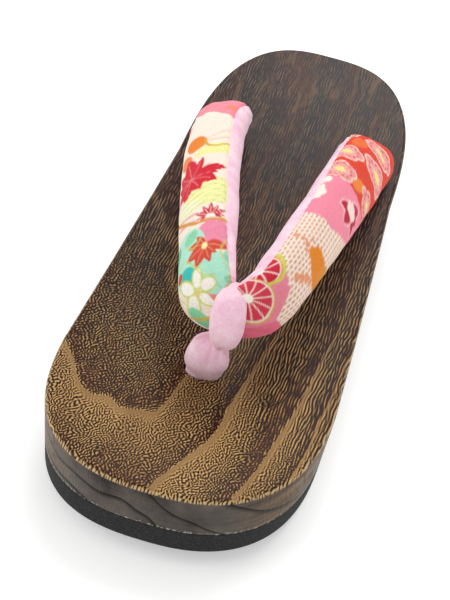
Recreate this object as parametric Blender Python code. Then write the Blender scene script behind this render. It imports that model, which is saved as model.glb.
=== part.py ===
"""Geta: a wooden thong sandal with a full-length rubber sole, padded cloth straps and a velvet toe loop.

The frame: +X to the toe, +Z up, the origin on the floor under the middle of the board. All sizes are in metres.
"""
import math
from collections import namedtuple

import bmesh
import bpy
from mathutils import Vector

# The board seen from above
LENGTH = 0.240
BALL_WIDTH = 0.088
HEEL_WIDTH = 0.076
TOE_ROUND = 0.058
HEEL_ROUND = 0.071
TOE_POWER = 2.5
HEEL_POWER = 2.9
SIDE_CAMBER = 0.0012

# The board and the sole seen from the side
HEEL_HEIGHT = 0.0408
TOE_HEIGHT = 0.0304
DISH = 0.0067
RUBBER_THICKNESS = 0.0082
TOE_SPRING = 0.0071
FLAT_LENGTH = 0.144
WALL_DRAFT = 0.0021
DECK_EDGE_RADIUS = 0.0018
SOLE_EDGE_RADIUS = 0.0010

# Space left between pieces that touch
GAP = 0.0003

# The straps
STRAP_WIDTH = 0.0236
STRAP_DEPTH = 0.0164
STRAP_WALL = 0.0015
STRAP_POWER = 2.2
JOINT_SETBACK = 0.0615
STRAP_RISE = 0.0300
JOINT_LEAN = 0.0045
JOINT_TWIST = 8.0
REAR_HOLE_SETBACK = 0.1877
REAR_HOLE_SPREAD = 0.0540
STRAP_NECK = 0.0100
STRAP_TAIL = 0.0120
HOLE_CLEARANCE = 0.0003
HOLE_SPARE_DEPTH = 0.0020

# The toe loop
FRONT_HOLE_SETBACK = 0.0620
STRAND_DEPTH = 0.0068
STRAND_WIDTH = 0.0134
LOOP_DEPTH = 0.0050
LOOP_WIDTH = 0.0105
LOOP_POWER = 2.4
REAR_BAND_SHARE = 0.44
REAR_DEPTH_SHARE = 0.76
TOP_BAND_SHARE = 0.25
STRAND_NECK_DEPTH = 0.0050
STRAND_NECK_WIDTH = 0.0098
LOOP_TAIL = 0.0110

# One row for each section of a strand of the toe loop, from its end in the front hole to the joint's underside.
# sink: share of the tail's length below the board's face
# rise: share of the way up from the board's face to the joint's underside
# swell: 0 where the strand is drawn together to its neck, 1 where it is full
# band: 0 where it is a full strand, 1 where it is the flat band of the loop
# lean: share of the joint's lean to the wearer's left
StrandRow = namedtuple("StrandRow", "sink rise swell band lean")
STRAND_ROWS = [
    StrandRow(1.0, 0.00, 0.0, 0.0, 0.00),
    StrandRow(0.0, 0.05, 0.0, 0.0, 0.00),
    StrandRow(0.0, 0.26, 0.9, 0.0, 0.15),
    StrandRow(0.0, 0.55, 1.0, 0.0, 0.35),
    StrandRow(0.0, 0.84, 1.0, 1.0, 0.85),
]

# One row for each section of the flat band beside the joint.
# height: height over the joint's middle, as a share of half the joint's height
# reach: share of the band's distance from the joint's middle
BandRow = namedtuple("BandRow", "height reach")
BAND_ROWS = [
    BandRow(-0.80, 0.88),
    BandRow(-0.30, 1.00),
    BandRow(0.35, 1.00),
    BandRow(0.92, 0.84),
]

# One row for each section of a strap leg, from the middle of the front joint to the end in the rear hole.
# run: share of the way along X from the joint to the rear hole
# spread: share of half the spread of the rear holes
# lift: share of the strap's rise above the board
# sink: share of the tail's length below the board's face
# lean: share of the joint's lean to the wearer's left
# width, depth: shares of the strap's width and depth
# neck: 0 where the strap is full, 1 where it is drawn together to its neck
# heading: way that the outer face looks, in degrees from the toe
# roll: turn of the width out of the level, in degrees, outer edge down
StrapRow = namedtuple("StrapRow", "run spread lift sink lean width depth neck heading roll")
STRAP_ROWS = [
    StrapRow(0.000, 0.00, 0.82, 0.0, 1.00, 0.76, 0.58, 0.0, 0, 89),
    StrapRow(0.004, 0.20, 0.83, 0.0, 1.00, 0.80, 0.60, 0.0, 26, 84),
    StrapRow(0.028, 0.34, 0.90, 0.0, 1.05, 0.89, 0.66, 0.0, 52, 79),
    StrapRow(0.070, 0.42, 0.97, 0.0, 1.15, 0.95, 0.78, 0.0, 68, 76),
    StrapRow(0.125, 0.46, 1.00, 0.0, 1.15, 0.98, 0.90, 0.0, 74, 74),
    StrapRow(0.245, 0.56, 0.98, 0.0, 1.00, 1.00, 1.00, 0.0, 76, 72),
    StrapRow(0.385, 0.68, 0.91, 0.0, 0.75, 1.00, 1.00, 0.0, 78, 68),
    StrapRow(0.535, 0.79, 0.80, 0.0, 0.48, 0.99, 0.98, 0.0, 80, 62),
    StrapRow(0.680, 0.88, 0.65, 0.0, 0.24, 0.97, 0.95, 0.0, 83, 54),
    StrapRow(0.800, 0.93, 0.49, 0.0, 0.10, 0.94, 0.90, 0.0, 86, 45),
    StrapRow(0.885, 0.96, 0.345, 0.0, 0.04, 0.90, 0.86, 0.0, 88, 36),
    StrapRow(0.940, 0.98, 0.26, 0.0, 0.00, 0.86, 0.76, 0.0, 90, 24),
    StrapRow(0.982, 1.00, 0.165, 0.0, 0.00, 0.76, 0.62, 0.1, 90, 10),
    StrapRow(1.000, 1.00, 0.08, 0.0, 0.00, 0.62, 0.60, 0.4, 90, 0),
    StrapRow(1.000, 1.00, 0.03, 0.0, 0.00, 0.50, 0.60, 1.0, 90, 0),
    StrapRow(1.000, 1.00, 0.00, 0.4, 0.00, 0.50, 0.60, 1.0, 90, 0),
    StrapRow(1.000, 1.00, 0.00, 1.0, 0.00, 0.50, 0.60, 1.0, 90, 0),
]

# Fineness of the meshes
TOE_STEPS = 11
SIDE_STEPS = 12
HEEL_STEPS = 11
EDGE_STEPS = 3
STRAP_SIDES = 20
STRAP_STEPS = 3
LOOP_SIDES = 16
LOOP_STEPS = 3
HOLE_SIDES = 32

HALF_LENGTH = LENGTH / 2
REAR_HOLE_X = HALF_LENGTH - REAR_HOLE_SETBACK
FRONT_HOLE_X = HALF_LENGTH - FRONT_HOLE_SETBACK
JOINT_X = HALF_LENGTH - JOINT_SETBACK


def clear_scene():
    """Remove every object, so that the script gives the same result each run."""
    for item in list(bpy.data.objects):
        bpy.data.objects.remove(item, do_unlink=True)


def make_collection(name):
    """A new collection in the scene."""
    group = bpy.data.collections.new(name)
    bpy.context.scene.collection.children.link(group)
    return group


def make_material(name, colour, roughness, metallic=0.0):
    """A Principled material of one colour."""
    material = bpy.data.materials.new(name)
    material.use_nodes = True
    shader = material.node_tree.nodes["Principled BSDF"]
    shader.inputs["Base Color"].default_value = (*colour, 1.0)
    shader.inputs["Roughness"].default_value = roughness
    shader.inputs["Metallic"].default_value = metallic
    material.diffuse_color = (*colour, 1.0)
    return material


def make_object(name, mesh, group, material=None, sharp_degrees=35):
    """A shaded object in a collection."""
    mesh.shade_smooth()
    mesh.set_sharp_from_angle(angle=math.radians(sharp_degrees))
    if material:
        mesh.materials.append(material)
    item = bpy.data.objects.new(name, mesh)
    group.objects.link(item)
    return item


def clamp(value, low=0.0, high=1.0):
    """The value, held between low and high."""
    return max(low, min(high, value))


def mix(first, second, share):
    """The value at a share of the way from first to second."""
    return first + (second - first) * share


def half_width(x):
    """Half the board's width at x, without the rounding of its ends."""
    toe_start = HALF_LENGTH - TOE_ROUND
    heel_start = HEEL_ROUND - HALF_LENGTH
    share = clamp((x - heel_start) / (toe_start - heel_start))
    camber = SIDE_CAMBER * (1 - (x / HALF_LENGTH) ** 2)
    return mix(HEEL_WIDTH, BALL_WIDTH, share) / 2 + camber


def outline():
    """Points (x, y) down the board's left side, from the tip of the toe to the back of the heel."""
    toe_start = HALF_LENGTH - TOE_ROUND
    heel_start = HEEL_ROUND - HALF_LENGTH
    points = []
    for step in range(TOE_STEPS):
        angle = math.pi / 2 * (1 - step / TOE_STEPS)
        x = toe_start + TOE_ROUND * math.sin(angle) ** (2 / TOE_POWER)
        round_share = abs(math.cos(angle)) ** (2 / TOE_POWER) if step else 0.0
        points.append((x, half_width(x) * round_share))
    for step in range(SIDE_STEPS):
        x = mix(toe_start, heel_start, step / SIDE_STEPS)
        points.append((x, half_width(x)))
    for step in range(HEEL_STEPS + 1):
        angle = math.pi / 2 * step / HEEL_STEPS
        x = heel_start - HEEL_ROUND * math.sin(angle) ** (2 / HEEL_POWER)
        round_share = abs(math.cos(angle)) ** (2 / HEEL_POWER) if step < HEEL_STEPS else 0.0
        points.append((x, half_width(x) * round_share))
    return points


def deck_top(x):
    """Height of the board's face, which is dished between toe and heel."""
    straight = mix(HEEL_HEIGHT, TOE_HEIGHT, (x + HALF_LENGTH) / LENGTH)
    return straight - DISH * (1 - (x / HALF_LENGTH) ** 2)


def sole_bottom(x):
    """Height of the sole's underside: flat from the heel to the ball, then rising to the toe."""
    share = clamp((x + HALF_LENGTH - FLAT_LENGTH) / (LENGTH - FLAT_LENGTH))
    return TOE_SPRING * share ** 2


def sole_top(x):
    """Height of the sole's upper face."""
    return sole_bottom(x) + RUBBER_THICKNESS


def wall_inset(x, z):
    """How far the side wall lies inside the board's outline at height z."""
    return WALL_DRAFT * (deck_top(x) - z) / (deck_top(x) - sole_bottom(x))


def ring(height, extra_inset=0.0):
    """The outline at a height, all round: toe tip, left side, heel, right side."""
    left = []
    for x, y in outline():
        z = height(x)
        inset = wall_inset(x, z) + extra_inset
        left.append(Vector((x * (1 - inset / HALF_LENGTH), y * (1 - 2 * inset / BALL_WIDTH), z)))
    right = [Vector((point.x, -point.y, point.z)) for point in reversed(left[1:-1])]
    return left + right


def slab(name, rings, group, material):
    """A closed slab through rings from bottom to top, its faces made of strips from side to side."""
    build = bmesh.new()
    layers = [[build.verts.new(point) for point in points] for points in rings]
    count = len(layers[0])
    for lower, upper in zip(layers, layers[1:]):
        for index in range(count):
            after = (index + 1) % count
            build.faces.new((lower[index], lower[after], upper[after], upper[index]))
    for layer in (layers[0], layers[-1]):
        for index in range(count // 2):
            corners = [layer[index], layer[index + 1]]
            corners += [layer[-index - 1]] if index < count // 2 - 1 else []
            corners += [layer[-index]] if index else []
            build.faces.new(corners)
    bmesh.ops.recalc_face_normals(build, faces=build.faces)
    mesh = bpy.data.meshes.new(name)
    build.to_mesh(mesh)
    build.free()
    return make_object(name, mesh, group, material)


def add_wood_deck(group, cutters, material):
    """The board, with an eased top edge and three blind holes for the straps."""
    rings = [ring(lambda x: sole_top(x) + GAP)]
    for step in range(EDGE_STEPS + 1):
        angle = math.pi / 2 * step / EDGE_STEPS
        drop = DECK_EDGE_RADIUS * (1 - math.sin(angle))
        inset = DECK_EDGE_RADIUS * (1 - math.cos(angle))
        rings.append(ring(lambda x, drop=drop: deck_top(x) - drop, inset))
    deck = slab("wood_deck", rings, group, material)
    strand_reach = GAP / 2 + STRAND_NECK_DEPTH
    front_radius = math.hypot(strand_reach, STRAND_NECK_WIDTH / 4) + HOLE_CLEARANCE
    bore(deck, cutters, "front_hole", FRONT_HOLE_X, 0.0, front_radius, LOOP_TAIL + HOLE_SPARE_DEPTH)
    for side, label in ((1, "left"), (-1, "right")):
        y = side * REAR_HOLE_SPREAD / 2
        radius = STRAP_NECK / 2 + HOLE_CLEARANCE
        bore(deck, cutters, f"rear_hole_{label}", REAR_HOLE_X, y, radius, STRAP_TAIL + HOLE_SPARE_DEPTH)
    return deck


def bore(target, cutters, name, x, y, radius, depth):
    """Cut a blind round hole straight down into the board's face."""
    above = 2 * DISH
    build = bmesh.new()
    bmesh.ops.create_cone(build, cap_ends=True, segments=HOLE_SIDES, radius1=radius, radius2=radius,
                          depth=depth + above)
    mesh = bpy.data.meshes.new(name)
    build.to_mesh(mesh)
    build.free()
    cutter = make_object(name, mesh, cutters)
    cutter.location = (x, y, deck_top(x) - depth + (depth + above) / 2)
    cutter.hide_render = True
    cutter.display_type = "WIRE"
    cut = target.modifiers.new(name, "BOOLEAN")
    cut.operation = "DIFFERENCE"
    cut.solver = "EXACT"
    cut.object = cutter


def add_rubber_sole(group, material):
    """The sole, with a rounded lower edge, under the whole board."""
    rings = []
    for step in range(EDGE_STEPS + 1):
        angle = math.pi / 2 * step / EDGE_STEPS
        rise = SOLE_EDGE_RADIUS * (1 - math.cos(angle))
        inset = SOLE_EDGE_RADIUS * (1 - math.sin(angle))
        rings.append(ring(lambda x, rise=rise: sole_bottom(x) + rise, inset))
    rings.append(ring(sole_top))
    return slab("rubber_sole", rings, group, material)


def smooth_rows(rows, steps):
    """Rows between the given ones, on a smooth curve through them all."""
    result = []
    for index in range(len(rows) - 1):
        before = rows[max(index - 1, 0)]
        start = rows[index]
        end = rows[index + 1]
        after = rows[min(index + 2, len(rows) - 1)]
        for step in range(steps):
            t = step / steps
            row = [
                0.5 * (2 * b + (c - a) * t + (2 * a - 5 * b + 4 * c - d) * t ** 2
                       + (3 * b - a - 3 * c + d) * t ** 3)
                for a, b, c, d in zip(before, start, end, after)
            ]
            result.append(row)
    result.append(list(rows[-1]))
    return result


def strap_station(row, side):
    """Centre, outward way, width, depth and roll of a strap section, for the left leg (1) or right (-1)."""
    x = mix(JOINT_X, REAR_HOLE_X, row.run)
    y = side * row.spread * REAR_HOLE_SPREAD / 2 + row.lean * JOINT_LEAN
    z = deck_top(x) + row.lift * STRAP_RISE - row.sink * STRAP_TAIL
    width = mix(row.width * STRAP_WIDTH, STRAP_NECK, row.neck)
    depth = mix(row.depth * STRAP_DEPTH, STRAP_NECK, row.neck)
    roll = row.roll + side * row.lean * row.spread * JOINT_TWIST
    return (x, y, z, side * row.heading, width, depth, roll)


def strap_sections(inset):
    """Sections of the whole strap from the right rear hole round the joint to the left one."""
    rows = [strap_station(row, -1) for row in reversed(STRAP_ROWS[1:])]
    rows += [strap_station(row, 1) for row in STRAP_ROWS]
    stations = smooth_rows(rows, STRAP_STEPS)
    centres = [Vector(row[:3]) for row in stations]
    sections = []
    for index, row in enumerate(stations):
        ahead = centres[min(index + 1, len(centres) - 1)]
        behind = centres[max(index - 1, 0)]
        along = (ahead - behind).normalized()
        heading = math.radians(row[3])
        outward = Vector((math.cos(heading), math.sin(heading), 0))
        outward = (outward - along * outward.dot(along)).normalized()
        upward = outward.cross(along)
        roll = math.radians(row[6])
        across = outward * math.cos(roll) - upward * math.sin(roll)
        through = outward * math.sin(roll) + upward * math.cos(roll)
        half_across = row[4] / 2 - inset
        half_through = row[5] / 2 - inset
        sections.append(oval(centres[index], across * half_across, through * half_through,
                             STRAP_SIDES, STRAP_POWER))
    return sections


def oval(centre, first, second, sides, power):
    """Points of a full oval with two half-axes; a power above 2 makes it fuller than an ellipse."""
    points = []
    for index in range(sides):
        angle = 2 * math.pi * index / sides
        c = math.cos(angle)
        s = math.sin(angle)
        points.append(centre + first * math.copysign(abs(c) ** (2 / power), c)
                      + second * math.copysign(abs(s) ** (2 / power), s))
    return points


def skin(build, sections, outward=True):
    """Faces of a tube through the sections; the rings of vertices are returned."""
    rings = [[build.verts.new(point) for point in section] for section in sections]
    count = len(rings[0])
    for lower, upper in zip(rings, rings[1:]):
        for index in range(count):
            after = (index + 1) % count
            corners = (lower[index], lower[after], upper[after], upper[index])
            build.faces.new(corners if outward else corners[::-1])
    return rings


def add_strap_upper(group, material):
    """The straps: one hollow tube of cloth, open at its two ends inside the rear holes."""
    build = bmesh.new()
    outer = skin(build, strap_sections(0.0))
    inner = skin(build, strap_sections(STRAP_WALL), outward=False)
    for end in (0, -1):
        count = len(outer[end])
        for index in range(count):
            after = (index + 1) % count
            build.faces.new((outer[end][index], outer[end][after], inner[end][after], inner[end][index]))
    bmesh.ops.recalc_face_normals(build, faces=build.faces)
    mesh = bpy.data.meshes.new("strap_upper")
    build.to_mesh(mesh)
    build.free()
    return make_object("strap_upper", mesh, group, material, sharp_degrees=60)


def loop_rows():
    """Rows of the toe loop, from its rear strand in the hole over the joint to its front strand.

    Each row has x, y, z, the width across and the depth through the band.
    """
    joint_z = deck_top(JOINT_X) + STRAP_ROWS[0].lift * STRAP_RISE
    joint_half_x = STRAP_ROWS[0].depth * STRAP_DEPTH / 2
    joint_half_z = STRAP_ROWS[0].width * STRAP_WIDTH / 2
    mouth = deck_top(FRONT_HOLE_X)
    column = joint_z - joint_half_z - mouth
    rear_width = LOOP_WIDTH * REAR_BAND_SHARE
    rear_depth = LOOP_DEPTH * REAR_DEPTH_SHARE
    strands = []
    for side, band_width, band_depth in ((-1, rear_width, rear_depth), (1, LOOP_WIDTH, LOOP_DEPTH)):
        strand = []
        for row in STRAND_ROWS:
            full_width = mix(STRAND_NECK_WIDTH, STRAND_WIDTH, row.swell)
            full_depth = mix(STRAND_NECK_DEPTH, STRAND_DEPTH, row.swell)
            x = FRONT_HOLE_X + side * (GAP + full_depth) / 2
            z = mouth + row.rise * column - row.sink * LOOP_TAIL
            strand.append((x, row.lean * JOINT_LEAN, z, mix(full_width, band_width, row.band),
                           mix(full_depth, band_depth, row.band)))
        reach = side * (joint_half_x + GAP + band_depth / 2)
        for row in BAND_ROWS:
            x = JOINT_X + row.reach * reach
            z = joint_z + row.height * joint_half_z
            strand.append((x, JOINT_LEAN, z, band_width, band_depth))
        strands.append(strand)
    top = joint_z + joint_half_z + GAP + LOOP_DEPTH / 2
    top_width = mix(rear_width, LOOP_WIDTH, TOP_BAND_SHARE)
    return strands[0] + [(JOINT_X, JOINT_LEAN, top, top_width, LOOP_DEPTH)] + strands[1][::-1]


def add_toe_loop(group, material):
    """The velvet loop: one stuffed band folded over the joint, with both ends in the front hole."""
    stations = smooth_rows(loop_rows(), LOOP_STEPS)
    centres = [Vector(row[:3]) for row in stations]
    sections = []
    for index, row in enumerate(stations):
        along = (centres[min(index + 1, len(centres) - 1)] - centres[max(index - 1, 0)]).normalized()
        across = Vector((0, 1, 0))
        across = (across - along * across.dot(along)).normalized()
        through = along.cross(across)
        sections.append(oval(centres[index], across * row[3] / 2, through * row[4] / 2, LOOP_SIDES, LOOP_POWER))
    build = bmesh.new()
    rings = skin(build, sections)
    build.faces.new(rings[0])
    build.faces.new(rings[-1])
    bmesh.ops.recalc_face_normals(build, faces=build.faces)
    mesh = bpy.data.meshes.new("toe_loop")
    build.to_mesh(mesh)
    build.free()
    return make_object("toe_loop", mesh, group, material, sharp_degrees=60)


def main():
    """Build the sandal."""
    clear_scene()
    parts = make_collection("geta")
    cutters = make_collection("cutters")
    wood = make_material("stained_paulownia", (0.085, 0.045, 0.025), 0.38)
    rubber = make_material("charcoal_rubber", (0.032, 0.033, 0.035), 0.75)
    crepe = make_material("printed_crepe", (0.85, 0.30, 0.32), 0.80)
    velvet = make_material("pink_velvet", (0.90, 0.52, 0.68), 0.90)
    add_rubber_sole(parts, rubber)
    add_wood_deck(parts, cutters, wood)
    add_strap_upper(parts, crepe)
    add_toe_loop(parts, velvet)


main()
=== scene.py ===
# %% [markdown]
# # A geta, dressed for its picture
# A geta is a wooden thong sandal: a dished board on a rubber sole, padded cloth straps and a small
# velvet loop between the toes. The solids come in as a fixed frame that tells where each piece sits.
# This lesson makes the pieces that show, one at a time, and gives each one its finish.

# %% Load the frame
import math

import bpy
import numpy as np
from mathutils import Matrix, Vector, noise


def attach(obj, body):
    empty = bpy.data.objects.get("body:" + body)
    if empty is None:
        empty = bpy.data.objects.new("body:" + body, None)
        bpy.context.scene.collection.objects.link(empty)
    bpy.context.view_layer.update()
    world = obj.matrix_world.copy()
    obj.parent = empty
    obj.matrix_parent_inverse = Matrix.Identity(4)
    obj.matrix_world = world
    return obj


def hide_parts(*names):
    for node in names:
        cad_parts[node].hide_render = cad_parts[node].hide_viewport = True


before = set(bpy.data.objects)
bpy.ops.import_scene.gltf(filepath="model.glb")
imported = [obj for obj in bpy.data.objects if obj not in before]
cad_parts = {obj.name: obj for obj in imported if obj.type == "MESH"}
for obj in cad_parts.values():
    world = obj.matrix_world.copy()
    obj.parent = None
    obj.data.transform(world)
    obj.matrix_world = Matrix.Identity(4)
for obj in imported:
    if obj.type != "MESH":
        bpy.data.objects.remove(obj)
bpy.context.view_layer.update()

# %% [markdown]
# ## The camera
# The camera comes first, because everything else is judged through it. It looks down at the toe from
# the front. A rotation matrix is the surest way to aim it: its three columns are the directions
# of the picture's right side, its top and the way back to the camera.

# %% Camera
CAMERA_PLACE = Vector((0.5540, 0.0765, 0.4575))
PICTURE_RIGHT = Vector((-0.2576, 0.9555, 0.1439))
PICTURE_BACK = Vector((0.7727, 0.1143, 0.6244))

bpy.ops.object.camera_add(location=CAMERA_PLACE)
camera = bpy.context.active_object
camera.name = "picture_camera"
back = PICTURE_BACK.normalized()
right = (PICTURE_RIGHT - back * PICTURE_RIGHT.dot(back)).normalized()
top = back.cross(right)
camera.rotation_euler = Matrix((right, top, back)).transposed().to_euler()
camera.data.lens = 126
camera.data.sensor_width = 36
camera.data.clip_start = 0.01
bpy.context.scene.camera = camera
print("camera height in mm:", round(1000 * camera.location.z))

# %% [markdown]
# ## The studio
# The sandal stands on a pale sweep under soft light. One wide lamp above gives the wood its satin
# sheen, a weaker one from the side keeps the walls from going flat, and a white world fills the rest.

# %% Floor and light
bpy.ops.object.select_all(action="DESELECT")
bpy.ops.mesh.primitive_plane_add(size=6.0, location=(0, 0, 0))
floor = bpy.context.active_object
floor.name = "studio_floor"


def area_lamp(name, place, target, size, watts):
    """A square soft lamp that looks at a point."""
    bpy.ops.object.light_add(type="AREA", location=place)
    lamp = bpy.context.active_object
    lamp.name = name
    lamp.data.shape = "SQUARE"
    lamp.data.size = size
    lamp.data.energy = watts
    lamp.rotation_euler = (Vector(target) - Vector(place)).to_track_quat("-Z", "Y").to_euler()


area_lamp("lamp_above", (-0.75, 0.10, 1.10), (0.0, 0.0, 0.03), 0.9, 9.5)
area_lamp("lamp_side", (0.60, -0.90, 0.75), (0.03, 0.0, 0.03), 0.8, 4.0)

world = bpy.data.worlds.new("soft_white_room")
bpy.context.scene.world = world
world.use_nodes = True
world.node_tree.nodes["Background"].inputs["Color"].default_value = (1, 1, 1, 1)
world.node_tree.nodes["Background"].inputs["Strength"].default_value = 0.62

# A plain display transform keeps the printed colours as they are picked.
bpy.context.scene.view_settings.view_transform = "Standard"


# %% [markdown]
# ## Colour and node helpers
# Colours are picked as hex values on a screen, but the renderer counts light in linear steps,
# so one function turns one into the other. Node trees are long to write, so one more function adds a
# node, sets it up, wires it and hands back the output that the next node needs.

# %% Colours and nodes
def linear(hex_colour):
    """A screen colour such as "#c09050" as linear RGBA."""
    channels = [int(hex_colour[i:i + 2], 16) / 255 for i in (1, 3, 5)]
    return (*[c / 12.92 if c <= 0.04045 else ((c + 0.055) / 1.055) ** 2.4 for c in channels], 1.0)


def add(tree, kind, sockets=None, stops=None, out=0, **settings):
    """Add a node and hand back one output; sockets holds values or links, stops the marks of a ramp."""
    new = tree.nodes.new("ShaderNode" + kind)
    for name, value in settings.items():
        setattr(new, name, value)
    if stops:
        ramp = new.color_ramp
        while len(ramp.elements) < len(stops):
            ramp.elements.new(0.5)
        for element, (place, colour) in zip(ramp.elements, stops):
            element.position = place
            element.color = colour
    for socket, value in (sockets or {}).items():
        if isinstance(value, bpy.types.NodeSocket):
            tree.links.new(value, new.inputs[socket])
        else:
            new.inputs[socket].default_value = value
    return new.outputs[out]


print("a middle grey in linear light:", round(linear("#808080")[0], 3))


# %% A new finish, and the paper's
def new_finish(name, **sockets):
    """A material with only its shader; the sockets that are the same all over are set here."""
    material = bpy.data.materials.new(name)
    material.use_nodes = True
    shader = material.node_tree.nodes["Principled BSDF"]
    for socket, value in sockets.items():
        shader.inputs[socket.replace("_", " ")].default_value = value
    return material, material.node_tree, shader


# The paper is lit a little from behind, so that the shadows on it stay pale.
sweep, tree, shader = new_finish("studio_paper", Roughness=0.9, Emission_Strength=0.38)
shader.inputs["Base Color"].default_value = linear("#f4f4f3")
shader.inputs["Emission Color"].default_value = (1, 1, 1, 1)
floor.data.materials.append(sweep)
print("finish of the floor:", sweep.name)

# %% [markdown]
# ## The board's outline
# Seen from above, the board is widest at the ball of the foot and a little narrower at the heel, with
# two full round ends. The same named sizes as in the solids draw it here with many more points, so
# that its edge stays smooth in a close view. Its top is a shallow dish and its toe lifts off the floor.

# %% Sizes that the board and the sole share
HALF_LENGTH = 0.120
BALL_WIDTH, HEEL_WIDTH = 0.088, 0.076
TOE_ROUND, HEEL_ROUND = 0.058, 0.071
TOE_POWER, HEEL_POWER = 2.5, 2.9
SIDE_CAMBER = 0.0012
HEEL_HEIGHT, TOE_HEIGHT, DISH = 0.0408, 0.0304, 0.0067
RUBBER_THICKNESS, TOE_SPRING, FLAT_END = 0.0082, 0.0071, 0.024
WALL_DRAFT = 0.0021
GAP = 0.0003


# %% Height curves
def mix(first, second, share):
    return first + (second - first) * share


def deck_top(x):
    """Height of the board's face."""
    return mix(HEEL_HEIGHT, TOE_HEIGHT, x / (2 * HALF_LENGTH) + 0.5) - DISH * (1 - (x / HALF_LENGTH) ** 2)


def sole_bottom(x):
    """Height of the sole's underside, which lifts towards the toe."""
    return TOE_SPRING * max(0.0, (x - FLAT_END) / (HALF_LENGTH - FLAT_END)) ** 2


def sole_top(x):
    return sole_bottom(x) + RUBBER_THICKNESS


print("height of the face at heel, middle and toe in mm:",
      [round(1000 * deck_top(x), 1) for x in (-HALF_LENGTH, 0.0, HALF_LENGTH)])


# %% Outline from above
def outline(count):
    """Points all the way round the board, from the tip of the toe along its left side."""
    toe_start, heel_start = HALF_LENGTH - TOE_ROUND, HEEL_ROUND - HALF_LENGTH
    half = count // 2
    ends = int(half * 0.38)
    points = []
    for step in range(half + 1):
        if step < ends:
            angle = math.pi / 2 * (1 - step / ends)
            x = toe_start + TOE_ROUND * math.sin(angle) ** (2 / TOE_POWER)
            share = math.cos(angle) ** (2 / TOE_POWER) if step else 0.0
        elif step <= half - ends:
            x, share = mix(toe_start, heel_start, (step - ends) / (half - 2 * ends)), 1.0
        else:
            angle = math.pi / 2 * (step - half + ends) / ends
            x = heel_start - HEEL_ROUND * math.sin(angle) ** (2 / HEEL_POWER)
            share = math.cos(angle) ** (2 / HEEL_POWER) if step < half else 0.0
        along = min(1.0, max(0.0, (x - heel_start) / (toe_start - heel_start)))
        width = mix(HEEL_WIDTH, BALL_WIDTH, along) / 2 + SIDE_CAMBER * (1 - (x / HALF_LENGTH) ** 2)
        points.append((x, width * share))
    return points + [(x, -y) for x, y in reversed(points[1:-1])]


print("widest place in mm:", round(2000 * max(y for x, y in outline(260)), 1))


# %% [markdown]
# ## Cutting the blank
# Board and sole start as the same blank: a cylinder whose rim is drawn out to the outline. One rim is
# rounded with a bevel, and then the blank is bisected every few millimetres along its length, so that
# it has cross lines to bend at. Last, each vertex takes its height from the two curves of its piece.

# %% Make one piece active
def pick(piece):
    """Make a piece the only selected one, with nothing selected inside."""
    bpy.ops.object.select_all(action="DESELECT")
    piece.select_set(True)
    bpy.context.view_layer.objects.active = piece
    bpy.ops.object.mode_set(mode="EDIT")
    bpy.ops.mesh.select_all(action="DESELECT")
    bpy.ops.object.mode_set(mode="OBJECT")


# %% Cut the blanks
def blank(name, thickness, rim_at_top, rim_radius, rim_steps, bottom, top):
    """A slab with the board's outline, one rounded rim, and the heights of its two faces."""
    count, spacing = 260, 0.003
    points = outline(count)
    bpy.ops.object.select_all(action="DESELECT")
    bpy.ops.mesh.primitive_cylinder_add(vertices=count, radius=1.0, depth=thickness,
                                        location=(0, 0, 0), end_fill_type="NGON")
    piece = bpy.context.active_object
    piece.name = name
    for vertex in piece.data.vertices:
        turn = math.atan2(vertex.co.y, vertex.co.x) / (2 * math.pi) * count
        x, y = points[round(turn) % count]
        vertex.co = (x, y, vertex.co.z + thickness / 2)
    pick(piece)
    rim = thickness if rim_at_top else 0.0
    for edge in piece.data.edges:
        edge.select = all(abs(piece.data.vertices[i].co.z - rim) < 1e-6 for i in edge.vertices)
    bpy.ops.object.mode_set(mode="EDIT")
    bpy.ops.mesh.bevel(offset=rim_radius, segments=rim_steps, profile=0.5, affect="EDGES")
    for step in range(1, int(2 * HALF_LENGTH / spacing)):
        bpy.ops.mesh.select_all(action="SELECT")
        bpy.ops.mesh.bisect(plane_co=(step * spacing - HALF_LENGTH, 0, 0), plane_no=(1, 0, 0))
    bpy.ops.object.mode_set(mode="OBJECT")
    for vertex in piece.data.vertices:
        x, y, z = vertex.co
        low, high = bottom(x), top(x)
        z = high - (thickness - z) if z > thickness / 2 else low + z
        inset = WALL_DRAFT * (deck_top(x) - z) / (deck_top(x) - sole_bottom(x))
        vertex.co = (x * (1 - inset / HALF_LENGTH), y * (1 - 2 * inset / BALL_WIDTH), z)
    return piece


board = blank("board", 0.016, True, 0.0018, 5, lambda x: sole_top(x) + GAP, deck_top)
sole = blank("sole", 0.006, False, 0.0010, 3, sole_bottom, sole_top)
print("vertices of the blanks:", len(board.data.vertices), len(sole.data.vertices))

# %% [markdown]
# ## The strap holes
# Three blind holes take the ends of the straps. They are drilled as on the real board: a round cutter
# is put where the drill goes and taken away from the wood with a Boolean modifier.

# %% Drill the holes
FRONT_HOLE_X, REAR_HOLE_X, REAR_HOLE_Y = 0.0580, -0.0677, 0.0270


def drill(piece, x, y, radius, depth):
    bpy.ops.object.select_all(action="DESELECT")
    bpy.ops.mesh.primitive_cylinder_add(vertices=48, radius=radius, depth=2 * depth,
                                        location=(x, y, deck_top(x)))
    drill_bit = bpy.context.active_object
    cut = piece.modifiers.new("hole", "BOOLEAN")
    cut.object, cut.solver, cut.operation = drill_bit, "EXACT", "DIFFERENCE"
    bpy.context.view_layer.objects.active = piece
    bpy.ops.object.modifier_apply(modifier=cut.name)
    bpy.data.objects.remove(drill_bit, do_unlink=True)


drill(board, FRONT_HOLE_X, 0.0, 0.0060, 0.013)
for side in (1, -1):
    drill(board, REAR_HOLE_X, side * REAR_HOLE_Y, 0.0053, 0.014)
print("vertices with the holes:", len(board.data.vertices))


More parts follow.
